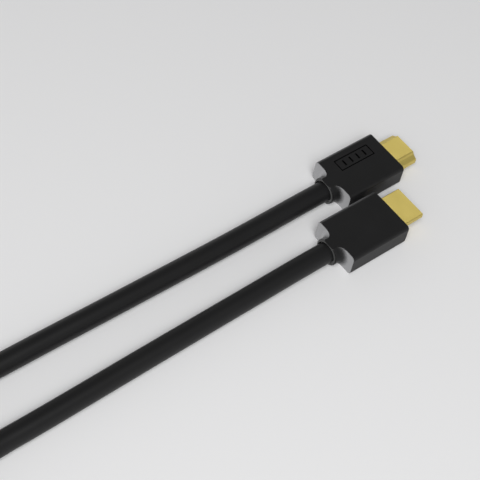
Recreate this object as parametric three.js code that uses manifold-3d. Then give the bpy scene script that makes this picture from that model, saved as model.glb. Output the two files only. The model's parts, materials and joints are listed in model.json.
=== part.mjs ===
// Digital video cable: one round cord with the same rectangular plug on both ends.
// Millimetres, +Z up, +X along both plugs towards their mouths. The origin is on the floor,
// under the middle of the two plugs. The cord runs off towards -X and its spare length lies
// there in one round coil, held by a tie.
import * as THREE from 'three';
import { mergeVertices } from 'three/addons/utils/BufferGeometryUtils.js';
import Module from 'manifold-3d';

// Moulded body of a plug
const bodyLength = 26.5;
const bodyWidth = 20;
const bodyHeight = 9.2;
const bodyEdgeRadius = 1.5;
const bodyEndRound = 0.25;

// Collar where the cord leaves the body, part of the same moulding: round, with a flat above and
// below that is level with the body
const collarLength = 3.9;
const collarWall = 1.25;
const collarBlend = 1.8;
const collarEdge = 0.6;
const collarRoot = 1.4;
const collarLevelGap = 0.05;

// Metal shell, in section a flat-topped D: wide on one side, narrow on the other
const shellWidth = 13.9;
const shellHeight = 4.45;
const shellWideSide = 2.2;
const shellNarrowWidth = 9.2;
const shellNarrowSide = 0.9;
const shellNarrowFlare = 0.4;
const shellWall = 0.3;
const shellCorner = 0.5;
const shellReach = 10;
const seatDepth = 5;
const seatGap = 0.2;

// Insulator inside the shell, with the slot that takes the socket's tongue
const insulatorGap = 0.1;
const insulatorRecess = 0.7;
const insulatorCorner = 0.17;
const slotWidth = 10.8;
const slotHeight = 1.9;
const slotDepth = 7.2;
const slotWideWall = 0.6;

// Contact springs on the two long walls of the slot, the crest's places as shares of the length
const contactPitch = 1;
const contactWidth = 0.45;
const contactThickness = 0.16;
const contactLength = 6.2;
const contactCrest = 0.3;
const crestFoot = 0.6;
const crestStart = 0.78;
const crestEnd = 0.86;
const contactGap = 0.05;
const wideRowCount = 10;
const narrowRowCount = 9;

// How the two plugs lie beside each other
const plugSpacing = 21.8;
const plugStagger = 16.9;

// Cord, and the ring-shaped bundle of its coil
const cordDiameter = 7.8;
const cordSides = 10;
const cordStep = 12;
const meetingGap = 0.3;
const coilRadius = 38.6;
const coilCentreX = -232;
const coilStrands = 5;
const strandGap = 0.16;
const coilSegments = 60;
const bundleSides = 12;

// Tie around the coil
const tieWidth = 14;
const tieThickness = 1;
const tieSides = 28;
const grooveReach = 4;

// How far a cutting solid runs past the face that it cuts
const overcut = 1;

// Middle of the cord from plug a to the coil, and from plug b to the coil
const routeA = [
  [-22, 10.9, 4.6], [-34, 10.9, 4.35], [-46, 10.95, 4.05], [-58, 11, 3.9], [-74, 11.15, 3.9],
  [-90, 11.35, 3.9], [-106, 11.55, 3.9], [-122, 11.8, 3.9], [-138, 12, 3.9], [-152, 12.1, 3.9],
  [-165, 12.2, 3.9], [-173, 12.9, 3.95], [-181, 15, 4.1], [-188, 18.3, 4.4], [-194.3, 22.7, 4.8],
  [-199.5, 27.8, 5.2], [-204.7, 33, 5.3],
];
const routeB = [
  [-38, -10.9, 4.6], [-50, -10.9, 4.35], [-62, -10.95, 4.05], [-74, -11, 3.9], [-90, -11.2, 3.9],
  [-106, -11.4, 3.9], [-122, -11.65, 3.9], [-138, -11.9, 3.9], [-152, -12.05, 3.9],
  [-163.5, -12.15, 3.95], [-171.5, -12.85, 4.2], [-179.5, -15, 4.65], [-186.5, -18.3, 5.25],
  [-192.9, -22.9, 5.9], [-198.2, -28.3, 6.5], [-203.2, -33.8, 6.8],
];

const wasm = await Module();
wasm.setup();

const mouldedBlack = { color: 0x1d1d1e, roughness: 0.55, metalness: 0 };
const goldPlate = { color: 0xc9b266, roughness: 0.35, metalness: 1 };
const insulatorBlack = { color: 0x101011, roughness: 0.5, metalness: 0 };
const jacketBlack = { color: 0x1a1a1b, roughness: 0.5, metalness: 0 };
const tieFabric = { color: 0x151516, roughness: 0.9, metalness: 0 };

const model = new THREE.Group();

function named(name, geometry, finish) {
  const mesh = new THREE.Mesh(geometry, new THREE.MeshStandardMaterial(finish));
  mesh.name = name;
  return mesh;
}

// A three.js geometry as a solid that can be joined and cut, and back
function solid(geometry) {
  const bare = geometry.clone();
  bare.deleteAttribute('normal');
  bare.deleteAttribute('uv');
  const merged = mergeVertices(bare, 1e-4);
  return new wasm.Manifold(new wasm.Mesh({
    numProp: 3,
    vertProperties: new Float32Array(merged.attributes.position.array),
    triVerts: new Uint32Array(merged.index.array),
  }));
}

function geometryOf(manifold) {
  const mesh = manifold.getMesh();
  const geometry = new THREE.BufferGeometry();
  geometry.setAttribute('position', new THREE.BufferAttribute(mesh.vertProperties, 3));
  geometry.setIndex(new THREE.BufferAttribute(mesh.triVerts, 1));
  geometry.computeVertexNormals();
  return geometry;
}

// A section drawn in Y and Z, drawn out along X from x0 to x1
function alongX(shape, x0, x1, endRound = 0) {
  const geometry = new THREE.ExtrudeGeometry(shape, {
    depth: x1 - x0 - 2 * endRound,
    bevelEnabled: endRound > 0,
    bevelThickness: endRound,
    bevelSize: endRound,
    bevelOffset: -endRound,
    bevelSegments: 3,
    curveSegments: 5,
  });
  const turn = new THREE.Matrix4().makeBasis(
    new THREE.Vector3(0, 1, 0), new THREE.Vector3(0, 0, 1), new THREE.Vector3(1, 0, 0));
  return geometry.applyMatrix4(turn).translate(x0 + endRound, 0, 0);
}

function box(x0, x1, y0, y1, z0, z1) {
  const geometry = new THREE.BoxGeometry(x1 - x0, y1 - y0, z1 - z0);
  return geometry.translate((x0 + x1) / 2, (y0 + y1) / 2, (z0 + z1) / 2);
}

// Corners of a closed outline moved outwards by a distance, square to each side
function offset(corners, distance) {
  const points = corners.map(([y, z]) => new THREE.Vector2(y, z));
  return points.map((point, i) => {
    const before = points[(i + points.length - 1) % points.length];
    const after = points[(i + 1) % points.length];
    const inward = point.clone().sub(before).normalize();
    const onward = after.clone().sub(point).normalize();
    const normalIn = new THREE.Vector2(inward.y, -inward.x);
    const normalOn = new THREE.Vector2(onward.y, -onward.x);
    const mitre = normalIn.clone().add(normalOn).divideScalar(1 + normalIn.dot(normalOn));
    return [point.x + distance * mitre.x, point.y + distance * mitre.y];
  });
}

// The same outline with each corner rounded
function rounded(corners, radius, Kind = THREE.Shape) {
  const outline = new Kind();
  corners.forEach(([y, z], i) => {
    const here = new THREE.Vector2(y, z);
    const before = new THREE.Vector2(...corners[(i + corners.length - 1) % corners.length]);
    const after = new THREE.Vector2(...corners[(i + 1) % corners.length]);
    const start = here.clone().lerp(before, Math.min(0.5, radius / here.distanceTo(before)));
    const end = here.clone().lerp(after, Math.min(0.5, radius / here.distanceTo(after)));
    if (i === 0) outline.moveTo(start.x, start.y);
    else outline.lineTo(start.x, start.y);
    outline.quadraticCurveTo(y, z, end.x, end.y);
  });
  outline.closePath();
  return outline;
}

// Corners of the shell's outside, wide side up, going round anticlockwise
function shellCorners() {
  const top = shellHeight / 2;
  const shoulder = top - shellWideSide;
  const crease = shellNarrowSide - top;
  const right = [
    [shellNarrowWidth / 2, -top], [shellNarrowWidth / 2 + shellNarrowFlare, crease],
    [shellWidth / 2, shoulder], [shellWidth / 2, top],
  ];
  const left = right.map(([y, z]) => [-y, z]).reverse();
  return [...right, ...left];
}

// Body and collar: one moulding, with the pocket that the shell sits in
function bodyGeometry() {
  const half = [bodyWidth / 2, bodyHeight / 2];
  const corners = [[-half[0], -half[1]], [half[0], -half[1]], [half[0], half[1]], [-half[0], half[1]]];
  const block = solid(alongX(rounded(corners, bodyEdgeRadius), 0, bodyLength, bodyEndRound));

  const radius = cordDiameter / 2 + collarWall;
  const profile = [new THREE.Vector2(0, -collarRoot)];
  profile.push(new THREE.Vector2(radius + collarBlend, -collarRoot));
  const arc = new THREE.EllipseCurve(
    radius + collarBlend, collarBlend, collarBlend, collarBlend, 1.5 * Math.PI, Math.PI, true);
  profile.push(...arc.getPoints(6));
  profile.push(new THREE.Vector2(radius, collarLength - collarEdge));
  const eased = collarEdge * (1 - Math.SQRT1_2);
  profile.push(new THREE.Vector2(radius - eased, collarLength - eased));
  profile.push(new THREE.Vector2(radius - collarEdge, collarLength));
  profile.push(new THREE.Vector2(0, collarLength));
  const collar = new THREE.LatheGeometry(profile, 40).rotateZ(Math.PI / 2);
  const level = half[1] - collarLevelGap;
  const slab = solid(box(-collarLength - overcut, collarRoot + overcut,
    bodyEdgeRadius - half[0], half[0] - bodyEdgeRadius, -level, level));

  const pocket = solid(alongX(
    rounded(offset(shellCorners(), seatGap), shellCorner), bodyLength - seatDepth - seatGap,
    bodyLength + overcut));
  return geometryOf(block.add(solid(collar).intersect(slab)).subtract(pocket));
}

function shellGeometry() {
  const section = rounded(shellCorners(), shellCorner);
  section.holes.push(rounded(offset(shellCorners(), -shellWall), shellCorner - shellWall, THREE.Path));
  return alongX(section, bodyLength - seatDepth, bodyLength + shellReach);
}

// Heights of the slot's two long walls above the plug's middle
const slotTop = shellHeight / 2 - shellWall - insulatorGap - slotWideWall;
const slotBottom = slotTop - slotHeight;
const insulatorFront = bodyLength + shellReach - insulatorRecess;
const slotEnd = insulatorFront - slotDepth;

function insulatorGeometry() {
  const inset = -(shellWall + insulatorGap);
  const block = solid(alongX(
    rounded(offset(shellCorners(), inset), insulatorCorner), bodyLength - seatDepth, insulatorFront));
  const slot = box(
    slotEnd, insulatorFront + overcut, -slotWidth / 2, slotWidth / 2, slotBottom, slotTop);
  return geometryOf(block.subtract(solid(slot)));
}

// One contact spring: a strip along its wall with a crest near the mouth
function contactGeometry(y, wall, side) {
  const strip = new THREE.Shape();
  const crest = contactThickness + contactCrest;
  strip.moveTo(0, 0);
  strip.lineTo(contactLength, 0);
  strip.lineTo(contactLength, contactThickness);
  strip.lineTo(contactLength * crestEnd, crest);
  strip.lineTo(contactLength * crestStart, crest);
  strip.lineTo(contactLength * crestFoot, contactThickness);
  strip.lineTo(0, contactThickness);
  strip.closePath();
  const geometry = new THREE.ExtrudeGeometry(strip, { depth: contactWidth, bevelEnabled: false });
  geometry.translate(0, 0, -contactWidth / 2).rotateX(side * Math.PI / 2);
  return geometry.translate(slotEnd + contactGap, y, wall + side * contactGap);
}

// One plug, its back end at the group's origin and its middle at that height
function plug(prefix) {
  const group = new THREE.Group();
  group.add(named(`${prefix}_body`, bodyGeometry(), mouldedBlack));
  group.add(named(`${prefix}_shell`, shellGeometry(), goldPlate));
  group.add(named(`${prefix}_insulator`, insulatorGeometry(), insulatorBlack));
  const rows = [['wide', wideRowCount, slotTop, -1], ['narrow', narrowRowCount, slotBottom, 1]];
  for (const [row, count, wall, side] of rows) {
    for (let i = 0; i < count; i += 1) {
      const y = (i - (count - 1) / 2) * contactPitch;
      const number = String(i + 1).padStart(2, '0');
      const geometry = contactGeometry(y, wall, side);
      group.add(named(`${prefix}_contact_${row}_${number}`, geometry, goldPlate));
    }
  }
  return group;
}

// Plug a lies with its narrow side up, plug b with its wide side up and further back
const overallLength = collarLength + plugStagger + bodyLength + shellReach;
const backA = overallLength / 2 - shellReach - bodyLength;
const backB = backA - plugStagger;

const plugA = plug('plug_a');
plugA.position.set(backA, plugSpacing / 2, bodyHeight / 2);
plugA.rotation.x = Math.PI;
model.add(plugA);

const plugB = plug('plug_b');
plugB.position.set(backB, -plugSpacing / 2, bodyHeight / 2);
model.add(plugB);

// Coil: five strands side by side around the middle of the bundle, twisted like a rope
const strandOrbit = (cordDiameter + strandGap) / 2 / Math.sin(Math.PI / coilStrands);
const bundleRadius = strandOrbit + cordDiameter / 2;

// A ring round the coil's middle, with a section of flat sides that just holds the strands
function ringGeometry(spare) {
  const corner = (bundleRadius + spare) / Math.cos(Math.PI / bundleSides);
  const profile = [];
  for (let i = 0; i <= bundleSides; i += 1) {
    const turn = ((i % bundleSides) + 0.5) * 2 * Math.PI / bundleSides;
    profile.push(new THREE.Vector2(coilRadius + corner * Math.cos(turn), corner * Math.sin(turn)));
  }
  const ring = new THREE.LatheGeometry(profile, coilSegments).rotateX(Math.PI / 2);
  return ring.translate(coilCentreX, 0, bundleRadius);
}

// The tie goes round the bundle on the side nearest the plugs, where the coil is one strand thinner
function tieGeometry(outer, inner, width) {
  const ring = (radius, Kind) => {
    const outline = new Kind();
    outline.absarc(0, 0, radius, 0, 2 * Math.PI, false);
    return outline;
  };
  const section = ring(outer, THREE.Shape);
  section.holes.push(ring(inner, THREE.Path));
  const strap = new THREE.ExtrudeGeometry(section, {
    depth: width, bevelEnabled: false, curveSegments: tieSides,
  });
  strap.rotateX(Math.PI / 2);
  return strap.translate(coilCentreX + coilRadius, width / 2, bundleRadius);
}

const tieInner = bundleRadius - tieThickness;
const groove = tieGeometry(
  bundleRadius + grooveReach, tieInner - meetingGap, tieWidth + 2 * meetingGap);
const coil = solid(ringGeometry(0)).subtract(solid(groove));
model.add(named('cord_coil', geometryOf(coil), jacketBlack));
model.add(named('cord_tie', tieGeometry(bundleRadius, tieInner, tieWidth), tieFabric));

// A free stretch of cord: straight out of the collar, along its route and up against the coil
function stretchGeometry(exit, route) {
  const points = [exit, ...route].map(([x, y, z]) => new THREE.Vector3(x, y, z));
  const path = new THREE.CatmullRomCurve3(points, false, 'centripetal');
  const section = new THREE.Shape();
  for (let i = 0; i < cordSides; i += 1) {
    const turn = 2 * Math.PI * i / cordSides;
    const [u, v] = [cordDiameter / 2 * Math.cos(turn), cordDiameter / 2 * Math.sin(turn)];
    if (i === 0) section.moveTo(u, v);
    else section.lineTo(u, v);
  }
  const steps = Math.round(path.getLength() / cordStep);
  const tube = solid(new THREE.ExtrudeGeometry(section, { steps, extrudePath: path }));
  const clear = tube.subtract(solid(ringGeometry(meetingGap)));
  const bodies = clear.decompose().sort((a, b) => b.volume() - a.volume());
  return geometryOf(bodies[0]);
}

const exitA = [backA - collarLength - meetingGap, plugSpacing / 2, bodyHeight / 2];
const exitB = [backB - collarLength - meetingGap, -plugSpacing / 2, bodyHeight / 2];
model.add(named('cord_a', stretchGeometry(exitA, routeA), jacketBlack));
model.add(named('cord_b', stretchGeometry(exitB, routeB), jacketBlack));

export default model;
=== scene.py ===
import json
import math
import bpy
import bmesh
from mathutils import Matrix, Vector

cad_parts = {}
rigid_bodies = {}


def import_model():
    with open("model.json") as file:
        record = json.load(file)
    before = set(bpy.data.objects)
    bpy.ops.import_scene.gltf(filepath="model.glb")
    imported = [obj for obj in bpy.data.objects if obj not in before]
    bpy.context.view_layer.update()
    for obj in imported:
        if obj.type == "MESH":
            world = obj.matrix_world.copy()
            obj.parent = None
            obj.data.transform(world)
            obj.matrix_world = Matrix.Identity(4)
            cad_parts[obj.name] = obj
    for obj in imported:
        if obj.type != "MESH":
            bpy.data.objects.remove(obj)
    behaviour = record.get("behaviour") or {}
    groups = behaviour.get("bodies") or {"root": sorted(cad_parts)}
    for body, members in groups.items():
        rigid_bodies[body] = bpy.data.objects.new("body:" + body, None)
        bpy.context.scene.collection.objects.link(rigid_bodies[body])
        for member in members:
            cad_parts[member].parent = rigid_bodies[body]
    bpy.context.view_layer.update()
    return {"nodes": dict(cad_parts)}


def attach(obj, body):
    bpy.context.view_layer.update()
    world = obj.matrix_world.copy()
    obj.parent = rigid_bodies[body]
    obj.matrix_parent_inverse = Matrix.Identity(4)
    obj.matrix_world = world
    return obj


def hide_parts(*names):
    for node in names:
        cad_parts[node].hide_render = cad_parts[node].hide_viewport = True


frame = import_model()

mm = 0.001

# Camera: a long lens behind and above the cord, looking along the plugs towards their mouths.
# The picture is a little tilted, so the plugs climb to the upper right.
camera_place = Vector((-271.58, -190.79, 396.0)) * mm
camera_right = Vector((0.78443, -0.60619, 0.13113)).normalized()
camera_up = Vector((0.42883, 0.68286, 0.59145)).normalized()
sensor_width = 36
lens_pixels = 1400
frame_pixels = 480
camera_data = bpy.data.cameras.new("studio_camera")
camera_data.sensor_width = sensor_width
camera_data.lens = sensor_width * lens_pixels / frame_pixels
camera_data.clip_start = 0.01
camera = bpy.data.objects.new("studio_camera", camera_data)
camera_back = camera_right.cross(camera_up)
turn = Matrix((camera_right, camera_up, camera_back)).transposed().to_4x4()
camera.matrix_world = Matrix.Translation(camera_place) @ turn
bpy.context.scene.collection.objects.link(camera)
bpy.context.scene.camera = camera

# Cord: one length of round shielded cable in a smooth extruded jacket.
# It leaves each plug's collar, lies along the floor, and its spare length is wound into a coil
# of five strands that lie round the middle of the bundle like the strands of a rope.
cord_diameter = 7.8 * mm
route_a = [
    (-11.75, 10.9, 4.6),
    (-22, 10.9, 4.6), (-34, 10.9, 4.35), (-46, 10.95, 4.05), (-58, 11, 3.9), (-74, 11.15, 3.9),
    (-90, 11.35, 3.9), (-106, 11.55, 3.9), (-122, 11.8, 3.9), (-138, 12, 3.9), (-152, 12.1, 3.9),
    (-165, 12.2, 3.9), (-173, 12.9, 3.95), (-181, 15, 4.1), (-188, 18.3, 4.4), (-194.3, 22.7, 4.8),
    (-199.5, 27.8, 5.2),
]
route_b = [
    (-28.65, -10.9, 4.6),
    (-38, -10.9, 4.6), (-50, -10.9, 4.35), (-62, -10.95, 4.05), (-74, -11, 3.9), (-90, -11.2, 3.9),
    (-106, -11.4, 3.9), (-122, -11.65, 3.9), (-138, -11.9, 3.9), (-152, -12.05, 3.9),
    (-163.5, -12.15, 3.95), (-171.5, -12.85, 4.2), (-179.5, -15, 4.65), (-186.5, -18.3, 5.25),
    (-192.9, -22.9, 5.9), (-198.2, -28.3, 6.5),
]
coil_centre = Vector((-232, 0, 0)) * mm
coil_radius = 38.6 * mm
strands = 5
middle_strand = 2.5
strand_gap = 0.16 * mm
orbit = (cord_diameter + strand_gap) / 2 / math.sin(math.pi / strands)
bundle_radius = orbit + cord_diameter / 2
first_turn, last_turn = math.radians(40.5), math.radians(1800 - 39.9)
first_twist = math.radians(-52)
twist_rate = 1 / strands
squeezed_strands = 4
squeezed_orbit = (cord_diameter + strand_gap) / 2 / math.sin(math.pi / squeezed_strands)
squeeze_from, squeeze_to = math.radians(38), math.radians(4)
points_per_turn = 40


def coil_point(along):
    """Middle of the cord at an angle round the coil, counted on from turn to turn."""
    around = (along + math.pi) % (2 * math.pi) - math.pi
    share = (squeeze_from - abs(around)) / (squeeze_from - squeeze_to)
    share = min(1, max(0, share))
    squeeze = (1 - math.cos(math.pi * share)) / 2
    strand = round(along / (2 * math.pi))
    spread = math.pi / 2 - 2 * math.pi / strands
    twist = first_twist - twist_rate * (along - first_turn)
    twist += squeeze * (middle_strand - strand) * spread
    distance = orbit + squeeze * (squeezed_orbit - orbit)
    radius = coil_radius + distance * math.cos(twist)
    height = bundle_radius + distance * math.sin(twist)
    return coil_centre + Vector((radius * math.cos(along), radius * math.sin(along), height))


steps = round((last_turn - first_turn) / (2 * math.pi) * points_per_turn)
turn_points = [
    coil_point(first_turn + (last_turn - first_turn) * i / steps) for i in range(1, steps)
]
inside_collar = 1.2 * mm
cord_points = [Vector(p) * mm for p in route_a] + turn_points
cord_points += [Vector(p) * mm for p in reversed(route_b)]
cord_points[0].x += inside_collar
cord_points[-1].x += inside_collar

cord_curve = bpy.data.curves.new("cord", "CURVE")
cord_curve.dimensions = "3D"
cord_curve.bevel_depth = cord_diameter / 2
cord_curve.bevel_resolution = 8
cord_curve.resolution_u = 5
cord_curve.use_fill_caps = True
spline = cord_curve.splines.new("BEZIER")
spline.bezier_points.add(len(cord_points) - 1)
for point, place in zip(spline.bezier_points, cord_points):
    point.co = place
    point.handle_left_type = point.handle_right_type = "AUTO"
cord = bpy.data.objects.new("cord", cord_curve)
bpy.context.scene.collection.objects.link(cord)


def grain_group():
    """Fine uneven surface of moulded and extruded plastic: a height and a mottled mask."""
    group = bpy.data.node_groups.new("plastic_grain", "ShaderNodeTree")
    face = group.interface
    face.new_socket("Grain Scale", in_out="INPUT", socket_type="NodeSocketFloat")
    face.new_socket("Mottle Scale", in_out="INPUT", socket_type="NodeSocketFloat")
    face.new_socket("Height", in_out="OUTPUT", socket_type="NodeSocketFloat")
    face.new_socket("Mottle", in_out="OUTPUT", socket_type="NodeSocketFloat")
    nodes, links = group.nodes, group.links
    inputs, outputs = nodes.new("NodeGroupInput"), nodes.new("NodeGroupOutput")
    place = nodes.new("ShaderNodeTexCoord")
    grain, mottle = nodes.new("ShaderNodeTexNoise"), nodes.new("ShaderNodeTexNoise")
    grain.inputs["Detail"].default_value = 2
    mottle.inputs["Detail"].default_value = 4
    links.new(place.outputs["Object"], grain.inputs["Vector"])
    links.new(place.outputs["Object"], mottle.inputs["Vector"])
    links.new(inputs.outputs["Grain Scale"], grain.inputs["Scale"])
    links.new(inputs.outputs["Mottle Scale"], mottle.inputs["Scale"])
    links.new(grain.outputs["Fac"], outputs.inputs["Height"])
    links.new(mottle.outputs["Fac"], outputs.inputs["Mottle"])
    return group


grain = grain_group()


def plastic(name, colour, paler, rough_from, rough_to, grain_scale, grain_depth, specular):
    """Black plastic: nearly even colour, roughness that drifts a little, and a fine grain."""
    material = bpy.data.materials.new(name)
    material.use_nodes = True
    nodes, links = material.node_tree.nodes, material.node_tree.links
    shader = nodes["Principled BSDF"]
    shader.inputs["Specular IOR Level"].default_value = specular
    surface = nodes.new("ShaderNodeGroup")
    surface.node_tree = grain
    surface.inputs["Grain Scale"].default_value = grain_scale
    surface.inputs["Mottle Scale"].default_value = grain_scale / 25
    tone = nodes.new("ShaderNodeMix")
    tone.data_type = "RGBA"
    tone.inputs["A"].default_value = colour
    tone.inputs["B"].default_value = paler
    links.new(surface.outputs["Mottle"], tone.inputs["Factor"])
    links.new(tone.outputs["Result"], shader.inputs["Base Color"])
    rough = nodes.new("ShaderNodeMapRange")
    rough.inputs["To Min"].default_value = rough_from
    rough.inputs["To Max"].default_value = rough_to
    links.new(surface.outputs["Mottle"], rough.inputs["Value"])
    links.new(rough.outputs["Result"], shader.inputs["Roughness"])
    bump = nodes.new("ShaderNodeBump")
    bump.inputs["Strength"].default_value = 1
    bump.inputs["Distance"].default_value = grain_depth
    links.new(surface.outputs["Height"], bump.inputs["Height"])
    links.new(bump.outputs["Normal"], shader.inputs["Normal"])
    return material


cord_curve.materials.append(plastic(
    "cord_jacket", (0.0075, 0.0075, 0.0078, 1), (0.011, 0.011, 0.0114, 1), 0.38, 0.48, 1500,
    0.01 * mm, 0.25))

# Tie: a strap of black hook and loop tape, wound once round the coil on the side nearest the
# plugs and pressed down on itself. It pulls the four strands there close together.
tie_width = 14 * mm
tape = 0.75 * mm
tie_inside = 9.7 * mm
tie_start, tie_sweep, tie_step = 100, 430, 5
lap_from, lap_over = 320, 40
lap_height = 1.08 * tape
profile = []
for degrees in range(0, tie_sweep + 1, tie_step):
    lap = min(1, max(0, (degrees - lap_from) / lap_over))
    radius = tie_inside + lap_height * lap * lap * (3 - 2 * lap)
    lean = math.radians(tie_start + degrees)
    profile.append((radius * math.cos(lean), -tie_width / 2, radius * math.sin(lean)))
tie_mesh = bpy.data.meshes.new("coil_tie")
tie_mesh.from_pydata(profile, [(i, i + 1) for i in range(len(profile) - 1)], [])
tie = bpy.data.objects.new("coil_tie", tie_mesh)
bpy.context.scene.collection.objects.link(tie)
tie.location = coil_centre + Vector((coil_radius, 0, bundle_radius))
bpy.ops.object.select_all(action="DESELECT")
bpy.context.view_layer.objects.active = tie
tie.select_set(True)
bpy.ops.object.transform_apply(location=True, rotation=True, scale=True)
bpy.ops.object.mode_set(mode="EDIT")
bpy.ops.mesh.select_all(action="SELECT")
bpy.ops.mesh.extrude_region_move(TRANSFORM_OT_translate={"value": (0, tie_width, 0)})
bpy.ops.mesh.select_all(action="SELECT")
bpy.ops.mesh.normals_make_consistent(inside=False)
bpy.ops.object.mode_set(mode="OBJECT")
wall = tie.modifiers.new("wall", "SOLIDIFY")
wall.thickness = tape
wall.offset = 1
bpy.ops.object.modifier_apply(modifier="wall")
edges = tie.modifiers.new("edges", "BEVEL")
edges.width = 0.2 * mm
edges.segments = 2
edges.limit_method = "ANGLE"
edges.angle_limit = math.radians(60)
bpy.ops.object.modifier_apply(modifier="edges")
bpy.ops.object.shade_smooth_by_angle(angle=math.radians(40))
tie.data.materials.append(plastic(
    "hook_and_loop", (0.012, 0.012, 0.0125, 1), (0.03, 0.03, 0.031, 1), 0.85, 0.95, 4000,
    0.12 * mm, 0.2))
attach(tie, "root")
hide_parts("cord_tie")

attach(cord, "root")
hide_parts("cord_a", "cord_b", "cord_coil")

# Plug body: a solid block moulded in black plastic round the shell and the end of the cord.
# A short round collar of the same moulding holds the cord. It swells softly into the block at its
# root, and its two flats are level with the block's broad faces.
body_length, body_width, body_height = 26.5 * mm, 20 * mm, 9.2 * mm
long_edge_radius = 1.5 * mm
end_edge_radius = 0.25 * mm
collar_length = 3.9 * mm
collar_radius = 5.15 * mm
collar_blend = 1.8 * mm
collar_mouth = 0.6 * mm
plug_places = {
    "a": Matrix.Translation((-7.85 * mm, 10.9 * mm, 4.6 * mm)) @ Matrix.Rotation(math.pi, 4, "X"),
    "b": Matrix.Translation((-24.75 * mm, -10.9 * mm, 4.6 * mm)),
}


def pick(obj, test, kind="edge"):
    """Selects the edges or faces of a mesh in edit mode that pass a test of their place."""
    shape = bmesh.from_edit_mesh(obj.data)
    bpy.ops.mesh.select_all(action="DESELECT")
    items = shape.edges if kind == "edge" else shape.faces
    for item in items:
        item.select_set(bool(test(item)))
    bmesh.update_edit_mesh(obj.data)


def ends(edge):
    return edge.verts[0].co, edge.verts[1].co


bpy.ops.object.select_all(action="DESELECT")
bpy.ops.mesh.primitive_cube_add(size=1, location=(body_length / 2, 0, 0))
block = bpy.context.object
block.name = "plug_body"
block.scale = (body_length, body_width, body_height)
bpy.ops.object.transform_apply(location=True, rotation=True, scale=True)
bpy.ops.object.mode_set(mode="EDIT")
bpy.ops.mesh.select_mode(type="EDGE")
tiny = 0.01 * mm
pick(block, lambda e: abs(ends(e)[0].x - ends(e)[1].x) > body_length / 2)
bpy.ops.mesh.bevel(offset=long_edge_radius, segments=8, affect="EDGES")
pick(block, lambda e: (
    all(v.x < tiny for v in ends(e)) or all(v.x > body_length - tiny for v in ends(e))))
bpy.ops.mesh.bevel(offset=end_edge_radius, segments=3, affect="EDGES")
bpy.ops.object.mode_set(mode="OBJECT")

# The collar is spun from its profile, with the round hole the cord goes in by, and cut level with
# the block above and below. Its root starts where the rounding of the block's end begins.
seat_gap, seat_depth = 0.45 * mm, 1.0 * mm
seat_radius = cord_diameter / 2 + seat_gap
blend_steps, mouth_steps, spin_steps = 10, 6, 96
profile = [(0, end_edge_radius), (collar_radius + collar_blend, end_edge_radius)]
for i in range(blend_steps + 1):
    lean = math.radians(90 * i / blend_steps)
    profile.append((
        collar_radius + collar_blend * (1 - math.sin(lean)), -collar_blend * (1 - math.cos(lean))))
for i in range(mouth_steps + 1):
    lean = math.radians(90 * i / mouth_steps)
    profile.append((
        collar_radius - collar_mouth * (1 - math.cos(lean)),
        -collar_length + collar_mouth * (1 - math.sin(lean))))
profile += [(seat_radius, -collar_length), (seat_radius, seat_depth - collar_length)]
profile.append((0, seat_depth - collar_length))
collar_mesh = bpy.data.meshes.new("plug_collar")
collar_mesh.from_pydata(
    [(x, radius, 0) for radius, x in profile], [(i, i + 1) for i in range(len(profile) - 1)], [])
collar = bpy.data.objects.new("plug_collar", collar_mesh)
bpy.context.scene.collection.objects.link(collar)
bpy.ops.object.select_all(action="DESELECT")
bpy.context.view_layer.objects.active = collar
collar.select_set(True)
bpy.ops.object.mode_set(mode="EDIT")
bpy.ops.mesh.select_all(action="SELECT")
bpy.ops.mesh.spin(steps=spin_steps, angle=2 * math.pi, center=(0, 0, 0), axis=(1, 0, 0))
bpy.ops.mesh.select_all(action="SELECT")
bpy.ops.mesh.remove_doubles(threshold=0.002 * mm)
bpy.ops.mesh.normals_make_consistent(inside=False)
for side in (1, -1):
    bpy.ops.mesh.select_all(action="SELECT")
    bpy.ops.mesh.bisect(
        plane_co=(0, 0, side * body_height / 2), plane_no=(0, 0, side), clear_outer=True,
        threshold=0.0001 * mm)
# Each flat closes the cut. Its outline is followed round a point just inside its root.
flat_middle = 0.8 * end_edge_radius
shape = bmesh.from_edit_mesh(collar.data)
for side in (1, -1):
    rim = [v for v in shape.verts if abs(v.co.z - side * body_height / 2) < 0.001 * mm]
    rim.sort(key=lambda v: math.atan2(v.co.y, v.co.x - flat_middle) % (2 * math.pi))
    flat = shape.faces.new(rim)
    flat.normal_update()
    if flat.normal.z * side < 0:
        flat.normal_flip()
bmesh.update_edit_mesh(collar.data)
bpy.ops.object.mode_set(mode="OBJECT")


def cut(target, tool):
    """Takes the tool's shape out of the target and clears the tool away."""
    bpy.ops.object.select_all(action="DESELECT")
    bpy.context.view_layer.objects.active = target
    target.select_set(True)
    change = target.modifiers.new("cut", "BOOLEAN")
    change.operation = "DIFFERENCE"
    change.solver = "EXACT"
    change.object = tool
    bpy.ops.object.modifier_apply(modifier="cut")
    bpy.data.objects.remove(tool)


# Engraved on the narrow side of each plug: a plain line frame with four short bars in it.
mark_depth = 0.4 * mm
line = 0.42 * mm
frame_from, frame_to = Vector((5.4, 1.2)) * mm, Vector((21.4, 6.4)) * mm
bar_places = [8.6 * mm, 11.8 * mm, 15.0 * mm, 18.2 * mm]
bar_width, bar_from, bar_to = 0.75 * mm, 2.5 * mm, 5.1 * mm
under = -body_height / 2


def mark_block(x0, x1, y0, y1, depth):
    """A block that sinks into the narrow side and stands out of it as far again."""
    bpy.ops.object.select_all(action="DESELECT")
    bpy.ops.mesh.primitive_cube_add(size=1, location=((x0 + x1) / 2, -(y0 + y1) / 2, under))
    piece = bpy.context.object
    piece.scale = (x1 - x0, y1 - y0, 2 * depth)
    bpy.ops.object.transform_apply(location=True, rotation=True, scale=True)
    return piece


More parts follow.
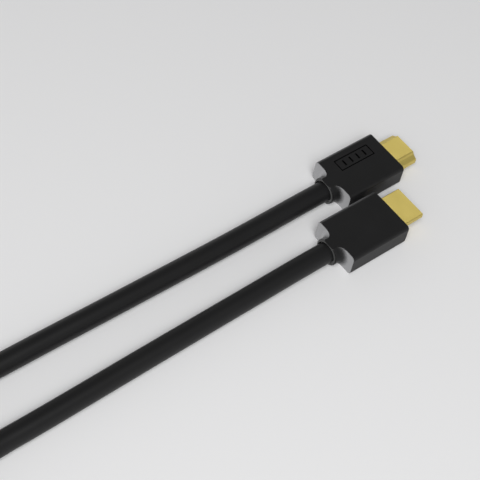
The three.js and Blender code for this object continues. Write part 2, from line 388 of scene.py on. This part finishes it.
outer = mark_block(frame_from.x, frame_to.x, frame_from.y, frame_to.y, mark_depth)
cut(outer, mark_block(
    frame_from.x + line, frame_to.x - line, frame_from.y + line, frame_to.y - line, 2 * mark_depth))
cut(block, outer)
for place in bar_places:
    bar = mark_block(place - bar_width / 2, place + bar_width / 2, bar_from, bar_to, mark_depth)
    cut(block, bar)

# Block and collar become one piece. Sharp edges are softened and the flat faces shaded level.
bpy.ops.object.select_all(action="DESELECT")
bpy.context.view_layer.objects.active = block
block.select_set(True)
collar.select_set(True)
bpy.ops.object.join()
soften = block.modifiers.new("soften", "BEVEL")
soften.width = 0.05 * mm
soften.segments = 2
soften.limit_method = "ANGLE"
soften.angle_limit = math.radians(60)
level = block.modifiers.new("level", "WEIGHTED_NORMAL")
level.keep_sharp = True
level.weight = 100
body_plastic = plastic(
    "moulded_body", (0.009, 0.009, 0.0092, 1), (0.0115, 0.0115, 0.0118, 1), 0.42, 0.5, 3200,
    0.012 * mm, 0.25)
block.data.materials.append(body_plastic)
bpy.ops.object.modifier_apply(modifier="soften")
bpy.ops.object.shade_smooth_by_angle(angle=math.radians(50))
bpy.ops.object.modifier_apply(modifier="level")

# The hollows of the mark, the seat of the cord and the rounded mouth of the collar, where little
# light gets in, get a near-black material: painted shade, not a colour of the moulding.
# The painted shade reaches out to this radius, over nearly all of the rounding of the collar's
# mouth.
shaded_mouth_radius = collar_radius - collar_mouth / 12
block.data.materials.append(plastic(
    "painted_shade_black", (0.002, 0.002, 0.002, 1), (0.003, 0.003, 0.003, 1), 0.7, 0.8, 3200,
    0.01 * mm, 0.03))
# Faces in the hollows of the mark and in the collar's seat and mouth take the painted shade.
for face in block.data.polygons:
    x, y, z = face.center
    shade_in_mark = (
        frame_from.x - tiny < x < frame_to.x + tiny
        and frame_from.y - tiny < -y < frame_to.y + tiny
        and under + tiny < z < under + mark_depth + tiny)
    shade_in_seat = x < seat_depth - collar_length + tiny and math.hypot(y, z) < shaded_mouth_radius
    if shade_in_mark or shade_in_seat:
        face.material_index = 1
for end, place in plug_places.items():
    body = block.copy()
    body.data = block.data.copy()
    body.name = body.data.name = f"moulded_body_{end}"
    body.data.transform(place)
    bpy.context.scene.collection.objects.link(body)
    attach(body, "root")
    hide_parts(f"plug_{end}_body")
bpy.data.objects.remove(block)

# Shell: sheet metal folded into a flat-topped D tube and gold plated, satin from the plating bath.
# Its root is held in the moulded body and its open mouth goes into the socket.
shell_width, shell_height, shell_wall = 13.9 * mm, 4.45 * mm, 0.3 * mm
wide_side, narrow_side = 2.2 * mm, 0.9 * mm
narrow_width, crease_width = 9.2 * mm, 10.0 * mm
shell_corner = 0.4 * mm
shell_root, shell_mouth = body_length - 5 * mm, body_length + 10 * mm
shoulder, crease = shell_height / 2 - wide_side, narrow_side - shell_height / 2
bpy.ops.object.select_all(action="DESELECT")
bpy.ops.mesh.primitive_cube_add(size=1, location=((shell_root + shell_mouth) / 2, 0, 0))
shell = bpy.context.object
shell.scale = (shell_mouth - shell_root, shell_width, shell_height)
bpy.ops.object.transform_apply(location=True, rotation=True, scale=True)
bpy.ops.object.mode_set(mode="EDIT")
bpy.ops.mesh.select_mode(type="FACE")
pick(shell, lambda f: abs(f.normal.x) > 0.9, "face")
bpy.ops.mesh.delete(type="FACE")
for height in (shoulder, crease):
    bpy.ops.mesh.select_all(action="SELECT")
    bpy.ops.mesh.bisect(plane_co=(0, 0, height), plane_no=(0, 0, 1))
bpy.ops.mesh.select_mode(type="EDGE")
for height, width in ((crease, crease_width), (-shell_height / 2, narrow_width)):
    pick(shell, lambda e: all(abs(v.z - height) < tiny for v in ends(e)))
    bpy.ops.transform.resize(value=(1, width / shell_width, 1), center_override=(0, 0, 0))
pick(shell, lambda e: abs(ends(e)[0].x - ends(e)[1].x) > 5 * mm)
bpy.ops.mesh.bevel(offset=shell_corner, segments=5, affect="EDGES")
bpy.ops.object.mode_set(mode="OBJECT")
wall = shell.modifiers.new("wall", "SOLIDIFY")
wall.thickness = shell_wall
wall.offset = -1
wall.use_even_offset = True
bpy.ops.object.modifier_apply(modifier="wall")
rim = shell.modifiers.new("rim", "BEVEL")
rim.width = 0.07 * mm
rim.segments = 2
rim.limit_method = "ANGLE"
rim.angle_limit = math.radians(60)
bpy.ops.object.modifier_apply(modifier="rim")
bpy.ops.object.shade_smooth_by_angle(angle=math.radians(50))
level = shell.modifiers.new("level", "WEIGHTED_NORMAL")
level.keep_sharp = True
level.weight = 100
bpy.ops.object.modifier_apply(modifier="level")


def gold_plate(name, colour, deeper, rough_from, rough_to, grain_scale):
    """Gold plating: warm metal with a fine grain and small changes of tone and roughness."""
    material = bpy.data.materials.new(name)
    material.use_nodes = True
    nodes, links = material.node_tree.nodes, material.node_tree.links
    shader = nodes["Principled BSDF"]
    shader.inputs["Metallic"].default_value = 1
    surface = nodes.new("ShaderNodeGroup")
    surface.node_tree = grain
    surface.inputs["Grain Scale"].default_value = grain_scale
    surface.inputs["Mottle Scale"].default_value = grain_scale / 12
    tone = nodes.new("ShaderNodeMix")
    tone.data_type = "RGBA"
    tone.inputs["A"].default_value = colour
    tone.inputs["B"].default_value = deeper
    links.new(surface.outputs["Mottle"], tone.inputs["Factor"])
    links.new(tone.outputs["Result"], shader.inputs["Base Color"])
    rough = nodes.new("ShaderNodeMapRange")
    rough.inputs["To Min"].default_value = rough_from
    rough.inputs["To Max"].default_value = rough_to
    links.new(surface.outputs["Mottle"], rough.inputs["Value"])
    links.new(rough.outputs["Result"], shader.inputs["Roughness"])
    bump = nodes.new("ShaderNodeBump")
    bump.inputs["Strength"].default_value = 1
    bump.inputs["Distance"].default_value = 0.004 * mm
    links.new(surface.outputs["Height"], bump.inputs["Height"])
    links.new(bump.outputs["Normal"], shader.inputs["Normal"])
    return material


shell.data.materials.append(gold_plate(
    "gold_shell", (0.70, 0.57, 0.175, 1), (0.66, 0.53, 0.155, 1), 0.44, 0.56, 2500))
for end, place in plug_places.items():
    tube = shell.copy()
    tube.data = shell.data.copy()
    tube.name = tube.data.name = f"gold_shell_{end}"
    tube.data.transform(place)
    bpy.context.scene.collection.objects.link(tube)
    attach(tube, "root")
    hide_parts(f"plug_{end}_shell")
bpy.data.objects.remove(shell)

# Insulator and contacts: the black block in the shell and the plated springs in its slot.
# Their own solids stay, and only take their finish here.
insulator_plastic = plastic(
    "insulator_plastic", (0.012, 0.012, 0.0125, 1), (0.02, 0.02, 0.021, 1), 0.4, 0.5, 5000,
    0.004 * mm, 0.45)
contact_gold = gold_plate(
    "gold_contact", (0.88, 0.68, 0.28, 1), (0.80, 0.60, 0.22, 1), 0.2, 0.3, 6000)
for name, node in frame["nodes"].items():
    if "insulator" in name or "contact" in name:
        node.data.materials.clear()
        node.data.materials.append(insulator_plastic if "insulator" in name else contact_gold)

# Floor and studio: a plain pale table under soft lights, with pale walls and a dim ceiling.
bpy.ops.object.select_all(action="DESELECT")
bpy.ops.mesh.primitive_plane_add(size=6, location=(0, 0, 0))
floor = bpy.context.object
floor.name = "floor"
pale = bpy.data.materials.new("pale_floor")
pale.use_nodes = True
surface = pale.node_tree.nodes["Principled BSDF"]
surface.inputs["Base Color"].default_value = (0.86, 0.86, 0.865, 1)
surface.inputs["Roughness"].default_value = 0.75
surface.inputs["Specular IOR Level"].default_value = 0.2
floor.data.materials.append(pale)

world = bpy.data.worlds.new("studio")
bpy.context.scene.world = world
world.use_nodes = True
sky, links = world.node_tree.nodes, world.node_tree.links
direction, split, fade = (
    sky.new("ShaderNodeTexCoord"), sky.new("ShaderNodeSeparateXYZ"), sky.new("ShaderNodeMapRange"))
fade.interpolation_type = "SMOOTHSTEP"
fade.inputs["From Min"].default_value = 0
fade.inputs["From Max"].default_value = 0.7
fade.inputs["To Min"].default_value = 0.8
fade.inputs["To Max"].default_value = 0.16
links.new(direction.outputs["Generated"], split.inputs["Vector"])
links.new(split.outputs["Z"], fade.inputs["Value"])
links.new(fade.outputs["Result"], sky["Background"].inputs["Color"])
aim = Vector((0, 0, 0.005))


def softbox(name, place, size, power):
    """A square lamp at a place in metres, turned towards the plugs."""
    light = bpy.data.lights.new(name, "AREA")
    light.shape = "SQUARE"
    light.size = size
    light.energy = power
    lamp = bpy.data.objects.new(name, light)
    facing = (aim - Vector(place)).to_track_quat("-Z", "Y").to_matrix().to_4x4()
    lamp.matrix_world = Matrix.Translation(place) @ facing
    bpy.context.scene.collection.objects.link(lamp)
    return lamp


softbox("key_softbox", (-0.5, -0.5, 1.05), 0.8, 12.5)

# A box beyond the plugs gives the plating its sheen, and leaves the black plastic dark.
plated = bpy.data.collections.new("plated_pieces")
for name, piece in bpy.data.objects.items():
    if name.startswith("gold_shell") or "contact" in name:
        plated.objects.link(piece)
sheen_light = softbox("sheen_softbox", (0.62, 0.55, 1.1), 0.7, 2.5)
sheen_light.light_linking.receiver_collection = plated

# A low strip behind the plugs reaches only the moulded bodies. It brightens their back faces.
end_light = softbox("end_strip", (-0.93, 0.37, 0.005), 0.5, 290)
end_light.data.shape = "RECTANGLE"
end_light.data.size_y = 0.03
end_light.visible_glossy = False
moulded = bpy.data.collections.new("moulded_bodies")
for end in plug_places:
    moulded.objects.link(bpy.data.objects[f"moulded_body_{end}"])
end_light.light_linking.receiver_collection = moulded
end_light.light_linking.blocker_collection = moulded
bpy.context.scene.view_settings.view_transform = "Standard"

bpy.context.view_layer.update()
